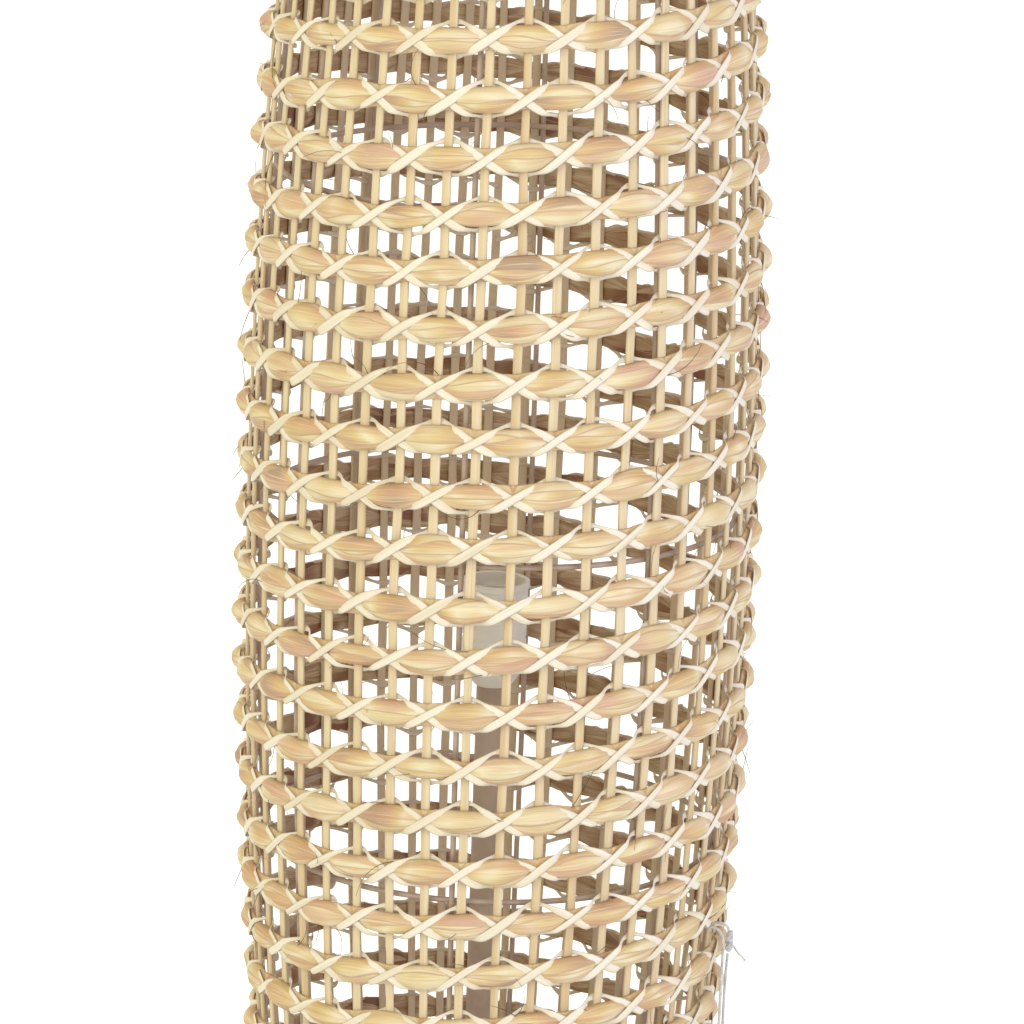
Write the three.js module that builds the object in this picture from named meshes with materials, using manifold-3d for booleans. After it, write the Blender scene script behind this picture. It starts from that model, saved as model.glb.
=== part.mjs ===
// Rattan floor lamp: a tall woven barrel on a wire frame, with a post that carries the lamp holder.
// Millimetres, +Z up, the floor at zero and the origin under the middle. The front faces -Y.

import * as THREE from "three";
import { mergeVertices } from "three/addons/utils/BufferGeometryUtils.js";
import Module from "manifold-3d";

const wasm = await Module();
wasm.setup();

// Overall form
const HEIGHT = 1200; // floor to the top of the upper rim
const BELLY_RADIUS = 148; // outer face of the stakes at mid height
const END_RADIUS = 103; // outer face of the stakes at the floor and at the top
const HOOP_PITCH = 200; // spacing of the frame's hoops, where the stakes bend a little
const SEAT = 0.3; // gap left between pieces that rest on each other

// Stakes: flat vertical rattan splints
const STAKE_COUNT = 42;
const STAKE_WIDTH = 5.4;
const STAKE_THICKNESS = 2;
const FIRST_STAKE_ANGLE = THREE.MathUtils.degToRad(2.9); // from the front towards the right

// Weave: two soft leaf strands that climb side by side, like a two-start thread
const ROW_PITCH = 31.7; // height from one row to the next
const STRAND_COUNT = 2;
const WEAVE_HEIGHT = 579.5; // height of strand B where it passes the front at mid height
const SPLICE_STAKE = 105; // stakes counted along strand B from the front to the splice at the back
const LEAF_HEIGHT = 17;
const LEAF_FULL_DEPTH = 6.8; // of the folded leaf where it swells over a stake
const LEAF_BOUND_DEPTH = 2.4; // and where the peel strips bind it flat against the next one
const LEAF_GAP = 0.6; // from the stakes to the back of the leaf
const CREASE_HEIGHT = 1.6; // the leaf's fold lies this far above its middle

// Rims: leaf-wrapped coils that cover the ends of the stakes
const RIM_WIDTH = 12;
const RIM_HEIGHT = 12;
const RIM_BEVEL = 3.4;

// Inner frame: steel wire, welded
const ROD_RADIUS = 1.65;
const WELD_DEPTH = 0.4; // how far a hoop sinks into the uprights that it is welded to
const UPRIGHT_COUNT = 8;
const FIRST_UPRIGHT_ANGLE = THREE.MathUtils.degToRad(-8);
const PEEL_SPACE = 2.2; // behind the stakes, for the peel strips that pass there
const FRAME_CLEARANCE = 0.35;

// Base: a wooden disc inside the lower rim, on a felt pad
const PAD_THICKNESS = 3;
const PAD_INSET = 6; // the pad stops this far inside the disc's edge
const DISC_THICKNESS = 15;
const DISC_BEVEL = 1.5;
const DISC_INSET = 2; // the disc's edge to the inner face of the stakes
const COUNTERBORE_RADIUS = 15;
const COUNTERBORE_DEPTH = 9;

// Post: a steel tube with a threaded stud below and a hollow threaded neck above
const POST_RADIUS = 9.5;
const POST_WALL = 1.2;
const POST_TOP = 489;
const POST_END_THICKNESS = 3;
const STUD_RADIUS = 5;
const NECK_RADIUS = 5;
const NECK_BORE_RADIUS = 3.6;
const NECK_LENGTH = 9;
const NUT_ACROSS_FLATS = 17;
const NUT_HEIGHT = 6.5;

// Cable gland: a bush in the back of the post where a lead would leave it
const GLAND_HEIGHT = 18; // its axis above the disc
const GLAND_HOLE_RADIUS = 4.5;
const GLAND_BARREL_RADIUS = 4.2;
const GLAND_BARREL_LENGTH = 5;
const GLAND_FLANGE_RADIUS = 6.6;
const GLAND_FLANGE_THICKNESS = 2;
const GLAND_BORE_RADIUS = 3;

// Lamp holder for a bulb with a 27 mm screw cap
const HOLDER_RADIUS = 19;
const HOLDER_WALL = 2;
const HOLDER_LIP = 1;
const HOLDER_LIP_HEIGHT = 4;
const HOLDER_HEIGHT = 64; // cap and body together
const CAP_HEIGHT = 20;
const CAP_CONE_HEIGHT = 12;
const CAP_FOOT_RADIUS = 11;
const CAP_FLOOR = 3;
const INSERT_CLEARANCE = 0.4;
const INSERT_HEIGHT = 36;
const INSERT_FLOOR = 9;
const SHELL_BORE_RADIUS = 13.7; // inside the screw shell
const SHELL_WALL = 0.6;
const SHELL_HEIGHT = 25;
const CONTACT_HOLE_RADIUS = 5;

// Tie string: a loop of cotton round one stake, under a row, hung down and knotted in front
const STRING_RADIUS = 0.9;
const STRING_STAKE = 8; // counted from the front towards the right
const STRING_ROW = -8; // rows down from strand A's own row at mid height
const KNOT_RADIUS = 2.6;
const KNOT_HEIGHT = 13;
const KNOT_OUT = 10.8; // the knot's middle, out from the stakes' face
const KNOT_SIDEWAYS = 4.6; // and along the wall from the stake
const KNOT_TAIL_LENGTH = 15;
const KNOT_TAIL_RADIUS = 0.8;
const KNOT_TAIL_SLOPE = THREE.MathUtils.degToRad(39);

// Facets
const ROD_SIDES = 5;
const HOOP_SIDES = 16;
const ROUND_SIDES = 24;
const SMALL_ROUND_SIDES = 16;
const NUT_SIDES = 6;
const TUBE_SIDES = 12;
const STRING_SIDES = 8;
const STRING_STEPS = 72;
const WELD = 0.001;
const OVERRUN = 4; // cutting tools reach this far past what they cut

// Heights that follow from the sizes above
const MID_HEIGHT = HEIGHT / 2;
const SPAN_COUNT = Math.round(HEIGHT / HOOP_PITCH);
const SPAN = HEIGHT / SPAN_COUNT;
const FULL_TURN = 2 * Math.PI;
const STAKE_STEP = FULL_TURN / STAKE_COUNT;
const DISC_BOTTOM = PAD_THICKNESS + SEAT;
const DISC_TOP = DISC_BOTTOM + DISC_THICKNESS;
const FOOT_RIM_TOP = DISC_BOTTOM + RIM_HEIGHT;
const TOP_RIM_BOTTOM = HEIGHT - RIM_HEIGHT;
const STAKE_FOOT = FOOT_RIM_TOP + SEAT;
const STAKE_HEAD = TOP_RIM_BOTTOM - SEAT;
const DISC_RADIUS = stakeFace(STAKE_FOOT) - STAKE_THICKNESS - DISC_INSET;
const RIM_INNER_RADIUS = DISC_RADIUS + SEAT;
const POST_FOOT = DISC_TOP + SEAT;
const CAP_FOOT = POST_TOP + SEAT;
const CAP_TOP = CAP_FOOT + CAP_HEIGHT;
const HOLDER_TOP = CAP_FOOT + HOLDER_HEIGHT;

const lamp = new THREE.Group();

const rattan = finish(0xd9b980, 0.72, 0);
const leaf = finish(0xd6b284, 0.78, 0);
const paleLeaf = finish(0xe4cfa4, 0.75, 0);
const rodPaint = finish(0x9c8583, 0.5, 0.35);
const timber = finish(0x9a7652, 0.7, 0);
const felt = finish(0x4b4038, 0.95, 0);
const steel = finish(0xa8a8a6, 0.35, 0.9);
const whitePlastic = finish(0xeeece6, 0.4, 0);
const ceramic = finish(0xf2efe8, 0.3, 0);
const brass = finish(0xc9a35a, 0.3, 0.9);
const cotton = finish(0xecebea, 0.85, 0);

addStakes();
addStrands();
addFrame();
addRims();
addBase();
addPost();
addHolder();
addString();

/** A plain finish in one colour. */
function finish(color, roughness, metalness) {
  return new THREE.MeshStandardMaterial({ color, roughness, metalness, flatShading: true });
}

/** Adds one named piece to the lamp. */
function add(name, geometry, material) {
  const mesh = new THREE.Mesh(geometry, material);
  mesh.name = name;
  lamp.add(mesh);
  return mesh;
}

/** The bow of the barrel: a parabola that is widest at mid height. */
function bow(z) {
  const fromMiddle = z / MID_HEIGHT - 1;
  return BELLY_RADIUS - (BELLY_RADIUS - END_RADIUS) * fromMiddle ** 2;
}

/** Radius of the stakes' outer face: the bow, in straight spans from hoop to hoop. */
function stakeFace(z) {
  const i = THREE.MathUtils.clamp(Math.floor(z / SPAN), 0, SPAN_COUNT - 1);
  return THREE.MathUtils.lerp(bow(i * SPAN), bow((i + 1) * SPAN), z / SPAN - i);
}

/** Heights where a piece that follows the bow needs a section, between two ends. */
function bendHeights(low, high) {
  const bends = Array.from({ length: SPAN_COUNT - 1 }, (_, i) => (i + 1) * SPAN);
  return [low, ...bends, high];
}

/** A point at an angle from the front towards the right, a radius and a height. */
function place(angle, radius, z) {
  return new THREE.Vector3(radius * Math.sin(angle), -radius * Math.cos(angle), z);
}

/** The direction along the wall, towards the right, at an angle. */
function along(angle) {
  return new THREE.Vector3(Math.cos(angle), Math.sin(angle), 0);
}

/** Angle of a stake, counted from the front towards the right and on round the barrel. */
function stakeAngle(index) {
  return FIRST_STAKE_ANGLE + index * STAKE_STEP;
}

/** A closed body through rings of points, capped at both ends, with its faces outward. */
function skin(rings) {
  const sides = rings[0].length;
  const index = [];
  for (let i = 0; i + 1 < rings.length; i++) {
    for (let j = 0; j < sides; j++) {
      const a = i * sides + j;
      const b = i * sides + ((j + 1) % sides);
      index.push(a, b, b + sides, a, b + sides, a + sides);
    }
  }
  const last = (rings.length - 1) * sides;
  for (let j = 1; j + 1 < sides; j++) {
    index.push(0, j + 1, j, last, last + j, last + j + 1);
  }
  const geometry = new THREE.BufferGeometry().setFromPoints(rings.flat());
  geometry.setIndex(index);
  return outward(geometry);
}

/** Turns every face round when the body is inside out. */
function outward(geometry) {
  const p = geometry.getAttribute("position");
  const index = geometry.getIndex();
  const [a, b, c] = [new THREE.Vector3(), new THREE.Vector3(), new THREE.Vector3()];
  let volume = 0;
  for (let i = 0; i < index.count; i += 3) {
    a.fromBufferAttribute(p, index.getX(i));
    b.fromBufferAttribute(p, index.getX(i + 1));
    c.fromBufferAttribute(p, index.getX(i + 2));
    volume += a.dot(b.cross(c));
  }
  if (volume < 0) {
    const turned = Array.from(index.array);
    for (let i = 0; i < turned.length; i += 3) {
      [turned[i + 1], turned[i + 2]] = [turned[i + 2], turned[i + 1]];
    }
    geometry.setIndex(turned);
  }
  return geometry;
}

/** The same body with its shared corners merged and its empty triangles dropped. */
function welded(geometry) {
  geometry.deleteAttribute("normal");
  geometry.deleteAttribute("uv");
  const merged = mergeVertices(geometry, WELD);
  const old = merged.getIndex().array;
  const kept = [];
  for (let i = 0; i < old.length; i += 3) {
    const [a, b, c] = [old[i], old[i + 1], old[i + 2]];
    if (a !== b && b !== c && c !== a) kept.push(a, b, c);
  }
  merged.setIndex(kept);
  return outward(merged);
}

/** A solid for joining and cutting. */
function solid(geometry) {
  const body = welded(geometry);
  return new wasm.Manifold(
    new wasm.Mesh({
      numProp: 3,
      vertProperties: new Float32Array(body.getAttribute("position").array),
      triVerts: new Uint32Array(body.getIndex().array),
    }),
  );
}

/** The geometry of a joined or cut solid. */
function geometryOf(manifold) {
  const mesh = manifold.getMesh();
  const geometry = new THREE.BufferGeometry();
  geometry.setAttribute("position", new THREE.BufferAttribute(new Float32Array(mesh.vertProperties), 3));
  geometry.setIndex(Array.from(mesh.triVerts));
  return geometry;
}

/** A turned body about the vertical axis. A profile off the axis is closed into a ring. */
function turned(profile, sides) {
  const points = profile.map(([radius, z]) => new THREE.Vector2(radius, z));
  if (points[0].x > 0) points.push(points[0].clone());
  return welded(new THREE.LatheGeometry(points, sides).rotateX(Math.PI / 2));
}

/** A regular outline with its corners at a radius. */
function polygon(radius, sides) {
  const corners = Array.from({ length: sides }, (_, i) => {
    const angle = (i * FULL_TURN) / sides;
    return new THREE.Vector2(radius * Math.cos(angle), radius * Math.sin(angle));
  });
  return new THREE.Shape(corners);
}

/** Forty-two flat splints, each a bowed strip from the foot rim to the top rim. */
function addStakes() {
  for (let k = 0; k < STAKE_COUNT; k++) {
    const angle = stakeAngle(k);
    const side = along(angle).multiplyScalar(STAKE_WIDTH / 2);
    const rings = bendHeights(STAKE_FOOT, STAKE_HEAD).map((z) => {
      const outer = place(angle, stakeFace(z), z);
      const inner = place(angle, stakeFace(z) - STAKE_THICKNESS, z);
      return [
        outer.clone().sub(side),
        outer.clone().add(side),
        inner.clone().add(side),
        inner.clone().sub(side),
      ];
    });
    add(`stake_${String(k + 1).padStart(2, "0")}`, skin(rings), rattan);
  }
}

/** Height of a strand at an angle. Strand A runs one row above strand B. */
function strandHeight(strand, angle) {
  const rowsUp = strand === "a" ? 1 : 0;
  return WEAVE_HEIGHT + ROW_PITCH * (rowsUp + (STRAND_COUNT * angle) / FULL_TURN);
}

/** The three corners of the folded leaf as it passes a stake, swollen or bound flat. */
function leafRing(strand, index, depth) {
  const angle = stakeAngle(index);
  const z = strandHeight(strand, angle);
  const corner = (rise, out) => place(angle, stakeFace(z + rise) + LEAF_GAP + out, z + rise);
  return [corner(-LEAF_HEIGHT / 2, 0), corner(CREASE_HEIGHT, depth), corner(LEAF_HEIGHT / 2, 0)];
}

/** A run of one strand. It starts and ends bound flat, and swells over every second stake. */
function addRun(name, strand, from, to) {
  const rings = [];
  for (let index = from; index <= to; index++) {
    const swollen = (index - from) % 2 === 1;
    rings.push(leafRing(strand, index, swollen ? LEAF_FULL_DEPTH : LEAF_BOUND_DEPTH));
  }
  add(name, skin(rings), leaf);
}

/** Each strand is two leaves long, spliced at the back, where the next starts one stake further on. */
function addStrands() {
  const margin = LEAF_HEIGHT / 2 + SEAT;
  for (const strand of ["a", "b"]) {
    const splice = strand === "a" ? SPLICE_STAKE : SPLICE_STAKE - 1;
    const fits = (index) => {
      const z = strandHeight(strand, stakeAngle(index));
      return z > DISC_TOP + margin && z < STAKE_HEAD - margin;
    };
    let first = splice;
    while (fits(first - 2)) first -= 2;
    let last = splice + 1;
    while (fits(last + 2)) last += 2;
    addRun(`leaf_strand_${strand}_lower`, strand, first, splice);
    addRun(`leaf_strand_${strand}_upper`, strand, splice + 1, last);
  }
}

/** Centre line of the uprights, just clear of the strips that pass behind the stakes. */
function frameRadius(z) {
  return stakeFace(z) - STAKE_THICKNESS - PEEL_SPACE - FRAME_CLEARANCE - ROD_RADIUS;
}

/** Eight bowed uprights, with a hoop welded inside them at each bend and at both ends. */
function addFrame() {
  const low = DISC_TOP + SEAT + ROD_RADIUS;
  const high = STAKE_HEAD - ROD_RADIUS;
  const levels = bendHeights(low, high);
  let frame = null;
  const join = (geometry) => {
    frame = frame ? frame.add(solid(geometry)) : solid(geometry);
  };
  for (let i = 0; i < UPRIGHT_COUNT; i++) {
    const angle = FIRST_UPRIGHT_ANGLE + (i * FULL_TURN) / UPRIGHT_COUNT;
    const rings = levels.map((z) => {
      const centre = place(angle, frameRadius(z), z);
      return Array.from({ length: ROD_SIDES }, (_, j) =>
        centre.clone().add(place(angle + (j * FULL_TURN) / ROD_SIDES, ROD_RADIUS, 0)),
      );
    });
    join(skin(rings));
  }
  for (const z of levels) {
    const hoopRadius = frameRadius(z) - 2 * ROD_RADIUS + WELD_DEPTH;
    const hoop = new THREE.TorusGeometry(hoopRadius, ROD_RADIUS, ROD_SIDES, HOOP_SIDES);
    join(hoop.rotateZ(FIRST_UPRIGHT_ANGLE - Math.PI / 2).translate(0, 0, z));
  }
  add("inner_frame", geometryOf(frame), rodPaint);
}

/** A six-sided ring, from its lowest point up. */
function rim(name, bottom) {
  const [inner, outer] = [RIM_INNER_RADIUS, RIM_INNER_RADIUS + RIM_WIDTH];
  const top = bottom + RIM_HEIGHT;
  const middle = bottom + RIM_HEIGHT / 2;
  const profile = [
    [inner, middle],
    [inner + RIM_BEVEL, bottom],
    [outer - RIM_BEVEL, bottom],
    [outer, middle],
    [outer - RIM_BEVEL, top],
    [inner + RIM_BEVEL, top],
  ];
  add(name, turned(profile, ROUND_SIDES), paleLeaf);
}

/** The wrapped coils that close the barrel below and above. */
function addRims() {
  rim("foot_rim", DISC_BOTTOM);
  rim("top_rim", TOP_RIM_BOTTOM);
}

/** The felt pad that meets the floor, and the disc that carries the frame and the post. */
function addBase() {
  const padRadius = DISC_RADIUS - PAD_INSET;
  const pad = [
    [0, 0],
    [padRadius, 0],
    [padRadius, PAD_THICKNESS],
    [0, PAD_THICKNESS],
  ];
  add("floor_pad", turned(pad, ROUND_SIDES), felt);
  const hole = STUD_RADIUS + SEAT;
  const ledge = DISC_BOTTOM + COUNTERBORE_DEPTH;
  const disc = [
    [hole, ledge],
    [COUNTERBORE_RADIUS, ledge],
    [COUNTERBORE_RADIUS, DISC_BOTTOM],
    [DISC_RADIUS, DISC_BOTTOM],
    [DISC_RADIUS, DISC_TOP - DISC_BEVEL],
    [DISC_RADIUS - DISC_BEVEL, DISC_TOP],
    [hole, DISC_TOP],
  ];
  add("base_disc", turned(disc, ROUND_SIDES), timber);
}

/** The tube with its stud and neck, the nut under the disc, and the gland in its back. */
function addPost() {
  const ledge = DISC_BOTTOM + COUNTERBORE_DEPTH;
  const nutTop = ledge - SEAT;
  const studEnd = nutTop - NUT_HEIGHT;
  const bore = POST_RADIUS - POST_WALL;
  const profile = [
    [0, studEnd],
    [STUD_RADIUS, studEnd],
    [STUD_RADIUS, POST_FOOT],
    [POST_RADIUS, POST_FOOT],
    [POST_RADIUS, POST_TOP],
    [NECK_RADIUS, POST_TOP],
    [NECK_RADIUS, POST_TOP + NECK_LENGTH],
    [NECK_BORE_RADIUS, POST_TOP + NECK_LENGTH],
    [NECK_BORE_RADIUS, POST_TOP - POST_END_THICKNESS],
    [bore, POST_TOP - POST_END_THICKNESS],
    [bore, POST_FOOT + POST_END_THICKNESS],
    [0, POST_FOOT + POST_END_THICKNESS],
  ];
  const glandAxis = DISC_TOP + GLAND_HEIGHT;
  const drill = new THREE.CylinderGeometry(
    GLAND_HOLE_RADIUS,
    GLAND_HOLE_RADIUS,
    POST_RADIUS + OVERRUN,
    TUBE_SIDES,
  ).translate(0, (POST_RADIUS + OVERRUN) / 2, glandAxis);
  add("post", geometryOf(solid(turned(profile, TUBE_SIDES)).subtract(solid(drill))), rodPaint);

  const flangeBack = POST_RADIUS + SEAT;
  const gland = [
    [GLAND_BORE_RADIUS, flangeBack + GLAND_FLANGE_THICKNESS],
    [GLAND_BORE_RADIUS, flangeBack - GLAND_BARREL_LENGTH],
    [GLAND_BARREL_RADIUS, flangeBack - GLAND_BARREL_LENGTH],
    [GLAND_BARREL_RADIUS, flangeBack],
    [GLAND_FLANGE_RADIUS, flangeBack],
    [GLAND_FLANGE_RADIUS, flangeBack + GLAND_FLANGE_THICKNESS],
  ];
  const bush = turned(gland, TUBE_SIDES).rotateX(-Math.PI / 2).translate(0, 0, glandAxis);
  add("cable_gland", bush, whitePlastic);

  const nutRadius = NUT_ACROSS_FLATS / 2 / Math.cos(Math.PI / NUT_SIDES);
  const outline = polygon(nutRadius, NUT_SIDES);
  outline.holes.push(new THREE.Path().absarc(0, 0, STUD_RADIUS + SEAT, 0, FULL_TURN, true));
  const nut = new THREE.ExtrudeGeometry(outline, {
    depth: NUT_HEIGHT,
    bevelEnabled: false,
    curveSegments: TUBE_SIDES,
  });
  add("post_nut", welded(nut.translate(0, 0, studEnd)), steel);
}

/** Cap, body, ceramic insert and brass screw shell, one inside the other. */
function addHolder() {
  const inside = HOLDER_RADIUS - HOLDER_WALL;
  const neckHole = NECK_RADIUS + SEAT;
  const cap = [
    [neckHole, CAP_FOOT],
    [CAP_FOOT_RADIUS, CAP_FOOT],
    [HOLDER_RADIUS, CAP_FOOT + CAP_CONE_HEIGHT],
    [HOLDER_RADIUS, CAP_TOP],
    [inside, CAP_TOP],
    [inside, CAP_FOOT + CAP_CONE_HEIGHT + CAP_FLOOR],
    [CAP_FOOT_RADIUS, CAP_FOOT + CAP_FLOOR],
    [neckHole, CAP_FOOT + CAP_FLOOR],
  ];
  add("holder_cap", turned(cap, SMALL_ROUND_SIDES), whitePlastic);

  const bodyFoot = CAP_TOP + SEAT;
  const body = [
    [inside, bodyFoot],
    [HOLDER_RADIUS, bodyFoot],
    [HOLDER_RADIUS, HOLDER_TOP - HOLDER_LIP_HEIGHT],
    [HOLDER_RADIUS + HOLDER_LIP, HOLDER_TOP - HOLDER_LIP_HEIGHT],
    [HOLDER_RADIUS + HOLDER_LIP, HOLDER_TOP],
    [inside, HOLDER_TOP],
  ];
  add("holder_body", turned(body, SMALL_ROUND_SIDES), whitePlastic);

  const insertRadius = inside - INSERT_CLEARANCE;
  const shellRadius = SHELL_BORE_RADIUS + SHELL_WALL;
  const insertBore = shellRadius + SEAT;
  const seat = bodyFoot + INSERT_FLOOR;
  const insert = [
    [0, bodyFoot],
    [insertRadius, bodyFoot],
    [insertRadius, bodyFoot + INSERT_HEIGHT],
    [insertBore, bodyFoot + INSERT_HEIGHT],
    [insertBore, seat],
    [0, seat],
  ];
  add("holder_insert", turned(insert, SMALL_ROUND_SIDES), ceramic);

  const shellFoot = seat + SEAT;
  const shell = [
    [CONTACT_HOLE_RADIUS, shellFoot],
    [shellRadius, shellFoot],
    [shellRadius, shellFoot + SHELL_HEIGHT],
    [SHELL_BORE_RADIUS, shellFoot + SHELL_HEIGHT],
    [SHELL_BORE_RADIUS, shellFoot + SHELL_WALL],
    [CONTACT_HOLE_RADIUS, shellFoot + SHELL_WALL],
  ];
  add("screw_shell", turned(shell, SMALL_ROUND_SIDES), brass);
}

/** The string from the top of its knot, round the stake, down, and back up to the knot. */
function addString() {
  const angle = stakeAngle(STRING_STAKE);
  const height = strandHeight("a", angle) + STRING_ROW * ROW_PITCH;
  const face = stakeFace(height);
  // each point: out from the stakes' face, along the wall, and up from the middle of the row
  const at = (out, sideways, up) =>
    place(angle, face + out, height + up).add(along(angle).multiplyScalar(sideways));
  const route = [
    [10.4, 4.5, -15.4],
    [9.2, 4.3, -12.6],
    [6.4, 4.1, -11.2],
    [2, 4.2, -11.2],
    [-1.8, 4.5, -11.7],
    [-4.7, 3.2, -12],
    [-5.4, 0, -12.1],
    [-4.7, -3.2, -12],
    [-1.8, -4.5, -11.7],
    [2, -4.2, -11.4],
    [6.2, -4, -12.6],
    [8.8, -3.8, -16.6],
    [9.4, -3.5, -24],
    [9.2, -3.2, -34],
    [9, -3, -46],
    [9, -3.1, -60],
    [9, -3.2, -74],
    [9.1, -4, -88],
    [9.2, -4.4, -97],
    [9.3, -2.6, -104],
    [9.4, 1.4, -104.4],
    [9.5, 3.8, -98],
    [9.6, 3.9, -88],
    [9.6, 3.2, -74],
    [9.7, 3, -58],
    [9.9, 3.2, -43],
    [10.3, 4, -29.6],
  ];
  const tube = new THREE.ExtrudeGeometry(polygon(STRING_RADIUS, STRING_SIDES), {
    steps: STRING_STEPS,
    extrudePath: new THREE.CatmullRomCurve3(route.map((point) => at(...point))),
    bevelEnabled: false,
  });
  add("tie_string", welded(tube), cotton);

  const [, , knotTop] = route[0];
  const middle = knotTop - SEAT - KNOT_HEIGHT / 2;
  const knot = new THREE.SphereGeometry(KNOT_RADIUS, STRING_SIDES, STRING_SIDES)
    .rotateX(Math.PI / 2)
    .scale(1, 1, KNOT_HEIGHT / 2 / KNOT_RADIUS);
  const tail = new THREE.CylinderGeometry(
    KNOT_TAIL_RADIUS,
    KNOT_TAIL_RADIUS,
    KNOT_TAIL_LENGTH,
    STRING_SIDES,
  )
    .translate(0, -KNOT_TAIL_LENGTH / 2, 0)
    .rotateZ(KNOT_TAIL_SLOPE)
    .rotateX(Math.PI / 2);
  const tied = geometryOf(solid(knot).add(solid(tail)));
  add("string_knot", tied.translate(...at(KNOT_OUT, KNOT_SIDEWAYS, middle).toArray()), cotton);
}

export default lamp;
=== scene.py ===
# %% [markdown]
# # A rattan floor lamp
# The lamp is a tall barrel, woven from soft folded leaf round flat rattan stakes, on a frame of
# thin wire. A post inside carries the lamp holder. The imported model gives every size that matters
# here, and this lesson dresses it: the weave, the pale strips that bind it, and the finishes.
# Everything is in metres, with Z up and the photographed side facing -Y.

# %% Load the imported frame
import math
from functools import partialmethod

import bmesh
import bpy
from mathutils import Matrix, Vector


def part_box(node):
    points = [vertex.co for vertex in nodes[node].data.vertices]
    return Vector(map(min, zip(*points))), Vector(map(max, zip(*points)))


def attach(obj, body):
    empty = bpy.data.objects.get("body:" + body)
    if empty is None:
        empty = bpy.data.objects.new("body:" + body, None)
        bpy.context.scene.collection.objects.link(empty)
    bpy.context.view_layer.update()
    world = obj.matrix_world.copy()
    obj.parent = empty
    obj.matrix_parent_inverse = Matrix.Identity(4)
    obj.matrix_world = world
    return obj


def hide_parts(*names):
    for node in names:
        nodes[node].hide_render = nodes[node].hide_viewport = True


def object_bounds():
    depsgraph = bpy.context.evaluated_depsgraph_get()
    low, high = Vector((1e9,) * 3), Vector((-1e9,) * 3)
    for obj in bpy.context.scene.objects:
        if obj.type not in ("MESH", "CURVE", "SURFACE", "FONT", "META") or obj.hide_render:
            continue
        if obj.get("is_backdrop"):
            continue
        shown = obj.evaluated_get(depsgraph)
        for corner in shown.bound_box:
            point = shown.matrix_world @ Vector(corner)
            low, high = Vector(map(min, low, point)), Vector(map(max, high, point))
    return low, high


MM = 0.001
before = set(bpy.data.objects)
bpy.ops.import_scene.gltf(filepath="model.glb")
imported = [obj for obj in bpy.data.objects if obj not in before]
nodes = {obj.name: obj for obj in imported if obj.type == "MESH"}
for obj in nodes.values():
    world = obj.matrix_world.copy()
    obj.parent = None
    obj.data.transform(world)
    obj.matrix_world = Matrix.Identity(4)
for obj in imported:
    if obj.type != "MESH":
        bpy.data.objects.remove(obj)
cad_low, cad_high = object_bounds()
print(f"{len(nodes)} nodes, {cad_high.z - cad_low.z:.3f} m tall")

# %% [markdown]
# ## The sizes of the weave
# The stakes bow out like a barrel's staves. Two leaf strands climb side by side, like a thread
# with two starts. They lie outside the stakes, and swell out over every second one. A place on a
# strand is counted in stakes, from the front towards the right and on round the barrel, so that
# one number gives both its angle and its height.

# %% Sizes that the weave follows
MID = (cad_high.z - cad_low.z) / 2
BELLY = 148 * MM
END = 103 * MM
STAKES = sum(name.startswith("stake_") for name in nodes)
STEP = math.tau / STAKES
FIRST_ANGLE = math.radians(2.9)
ROW_PITCH = 31.7 * MM
WEAVE_HEIGHT = 579.5 * MM
LEAF_HALF = 8.5 * MM
WEAVE_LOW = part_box("base_disc")[1].z + LEAF_HALF + 0.6 * MM
WEAVE_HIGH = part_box("top_rim")[0].z - LEAF_HALF - 0.9 * MM
SPLICE = 105


def strand_height(row, place):
    """Height of a strand's middle at a place counted in stakes. Strand A has row 1, B has row 0."""
    turns = (FIRST_ANGLE + place * STEP) / math.tau
    return WEAVE_HEIGHT + ROW_PITCH * (row + 2 * turns)


def runs():
    """Each length of leaf: its name, row, first and last place, and a place that it swells over."""
    found = []
    for letter, row in (("a", 1), ("b", 0)):
        splice = SPLICE - 1 + row
        first, last = splice, splice + 1
        while strand_height(row, first - 2) > WEAVE_LOW:
            first -= 2
        while strand_height(row, last + 2) < WEAVE_HIGH:
            last += 2
        found.append((f"leaf_strand_{letter}_lower", row, first, splice, splice - 1))
        found.append((f"leaf_strand_{letter}_upper", row, splice + 1, last, splice + 2))
    return found


RUNS = runs()
for name, _, first, last, _ in RUNS:
    print(f"{name}: stakes {first} to {last}")

# %% [markdown]
# ## Camera and light
# The camera stands about three metres away at face height, looks down a little, and frames only
# the middle of the barrel. It is turned slightly about its own axis, because the lamp leans in
# the photograph. Two soft lamps light it from the front, a warm one and a cool one, and the white
# room that gives the rest of the light comes last.

# %% Camera
CAMERA_PLACE = Vector((0, -2.732, 1.333))
CAMERA_PITCH = math.radians(15.12)
CAMERA_ROLL = math.radians(2.01)
CAMERA_YAW = math.radians(0.166)
PICTURE_SIDE = 1024
FOCAL_PIXELS = 4821


def add_object(name, data):
    """A new object in the scene, unmoved."""
    thing = bpy.data.objects.new(name, data)
    bpy.context.scene.collection.objects.link(thing)
    return thing


camera = add_object("camera", bpy.data.cameras.new("camera"))
camera.location = CAMERA_PLACE
reach = math.cos(CAMERA_PITCH)
forward = (math.sin(CAMERA_YAW) * reach, math.cos(CAMERA_YAW) * reach, -math.sin(CAMERA_PITCH))
level = Vector(forward).to_track_quat("-Z", "Y").to_matrix()
camera.rotation_euler = (level @ Matrix.Rotation(CAMERA_ROLL, 3, "Z")).to_euler()
camera.data.sensor_width = 36
camera.data.lens = FOCAL_PIXELS / PICTURE_SIDE * camera.data.sensor_width
camera.data.clip_end = 60
bpy.context.scene.camera = camera
bpy.context.scene.view_settings.view_transform = "Standard"
print(f"lens {camera.data.lens:.1f} mm")

# %% Two soft lamps
AIM = (0, 0, 0.6)


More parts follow.
